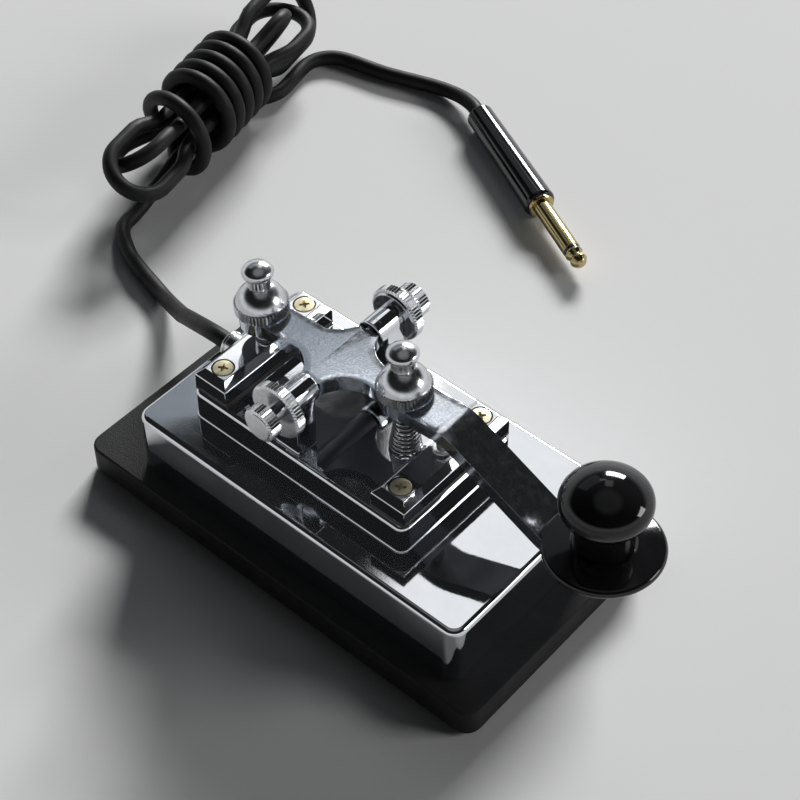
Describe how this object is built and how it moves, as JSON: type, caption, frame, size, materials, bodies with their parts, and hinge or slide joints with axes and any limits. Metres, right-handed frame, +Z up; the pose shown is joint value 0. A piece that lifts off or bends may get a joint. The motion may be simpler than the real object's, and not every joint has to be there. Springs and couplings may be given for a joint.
{
  "type": "telegraph key",
  "caption": "Straight telegraph key: chromed body on a black base, sprung lever on pivot screws, adjusting screws with lock nuts, black knob with skirt, hanked cord and jack plug.",
  "frame": {"origin": "middle of the underside of the rubber pad under the base", "axes": "+X forward to the knob, +Y to the left of someone who looks along the key towards the knob, +Z up"},
  "size_m": [0.2845, 0.2125, 0.0829],
  "materials": {
    "pad_rubber": "matte black rubber sheet",
    "base_black": "matte black paint with a fine grain",
    "mirror_chrome": "polished mirror chrome",
    "satin_chrome": "bright chrome with a fine grain",
    "bright_nickel": "bright nickel, knurled rims and polished domes",
    "plain_steel": "zinc-plated steel",
    "strip_fibre": "dark insulating board",
    "pale_brass": "pale plated brass",
    "contact_silver": "dull silver",
    "bush_nylon": "natural nylon",
    "terminal_brass": "plain brass",
    "lead_skin": "red wire skin",
    "spring_steel": "drawn spring wire",
    "knob_black": "polished black phenolic",
    "cord_rubber": "matte black rubber skin",
    "plug_black": "glossy black",
    "plug_gold": "gold-plated brass"
  },
  "bodies": {
    "stand": {"base_pad": "pad_rubber", "base_plate": "base_black", "body_screws": "plain_steel", "body_casting": "mirror_chrome", "rear_insulator": "strip_fibre", "front_insulator": "strip_fibre", "rear_contact_bar": "mirror_chrome", "front_contact_bar": "mirror_chrome", "rear_bar_screws": "pale_brass", "front_bar_screws": "pale_brass", "rear_anvil": "contact_silver", "front_anvil": "contact_silver", "front_bush": "bush_nylon", "terminal_nut": "terminal_brass", "terminal_tags": "terminal_brass", "ground_screw": "terminal_brass", "lead_wires": "lead_skin", "near_pivot_post": "mirror_chrome", "far_pivot_post": "mirror_chrome", "post_screws": "plain_steel", "return_spring": "spring_steel", "cord_gland": "bright_nickel", "cord_key_run": "cord_rubber", "cord_hank": "cord_rubber", "cord_plug_run": "cord_rubber", "plug_barrel": "plug_black", "plug_collar": "plug_gold", "plug_sleeve": "plug_gold", "plug_insulating_ring": "plug_black", "plug_tip": "plug_gold"},
    "lever": {"lever": "satin_chrome", "lever_contact": "contact_silver", "knob_skirt": "knob_black", "knob": "knob_black", "knob_screw": "plain_steel"},
    "near_pivot_screw": {"near_pivot_screw": "bright_nickel"},
    "far_pivot_screw": {"far_pivot_screw": "bright_nickel"},
    "near_pivot_lock_nut": {"near_pivot_lock_nut": "bright_nickel"},
    "far_pivot_lock_nut": {"far_pivot_lock_nut": "bright_nickel"},
    "gap_screw": {"gap_screw": "bright_nickel"},
    "gap_lock_nut": {"gap_lock_nut": "bright_nickel"},
    "tension_screw": {"tension_screw": "bright_nickel"},
    "tension_lock_nut": {"tension_lock_nut": "bright_nickel"}
  },
  "joints": [
    {"name": "lever_pivot", "type": "hinge", "parent": "stand", "child": "lever", "pos_m": [-0.0077, 0, 0.062], "axis": [0, 1, 0], "range_deg": [0, 0.85], "stiffness_Nm_per_rad": 2.8, "springref_deg": -4.01, "deforming": ["return_spring"]},
    {"name": "near_pivot_screw_turn", "type": "hinge", "parent": "stand", "child": "near_pivot_screw", "pos_m": [-0.0077, 0, 0.062], "axis": [0, -1, 0], "continuous": true},
    {"name": "near_pivot_lock_nut_turn", "type": "hinge", "parent": "stand", "child": "near_pivot_lock_nut", "pos_m": [-0.0077, 0, 0.062], "axis": [0, -1, 0], "continuous": true},
    {"name": "far_pivot_screw_turn", "type": "hinge", "parent": "stand", "child": "far_pivot_screw", "pos_m": [-0.0077, 0, 0.062], "axis": [0, 1, 0], "continuous": true},
    {"name": "far_pivot_lock_nut_turn", "type": "hinge", "parent": "stand", "child": "far_pivot_lock_nut", "pos_m": [-0.0077, 0, 0.062], "axis": [0, 1, 0], "continuous": true},
    {"name": "gap_screw_turn", "type": "hinge", "parent": "lever", "child": "gap_screw", "pos_m": [-0.0374, 0, 0.06253], "axis": [-0.0663, 0, 0.9978], "continuous": true},
    {"name": "gap_lock_nut_turn", "type": "hinge", "parent": "lever", "child": "gap_lock_nut", "pos_m": [-0.0374, 0, 0.06253], "axis": [-0.0663, 0, 0.9978], "continuous": true},
    {"name": "tension_screw_turn", "type": "hinge", "parent": "lever", "child": "tension_screw", "pos_m": [0.01608, 0, 0.06609], "axis": [-0.0663, 0, 0.9978], "continuous": true},
    {"name": "tension_lock_nut_turn", "type": "hinge", "parent": "lever", "child": "tension_lock_nut", "pos_m": [0.01608, 0, 0.06609], "axis": [-0.0663, 0, 0.9978], "continuous": true}
  ]
}
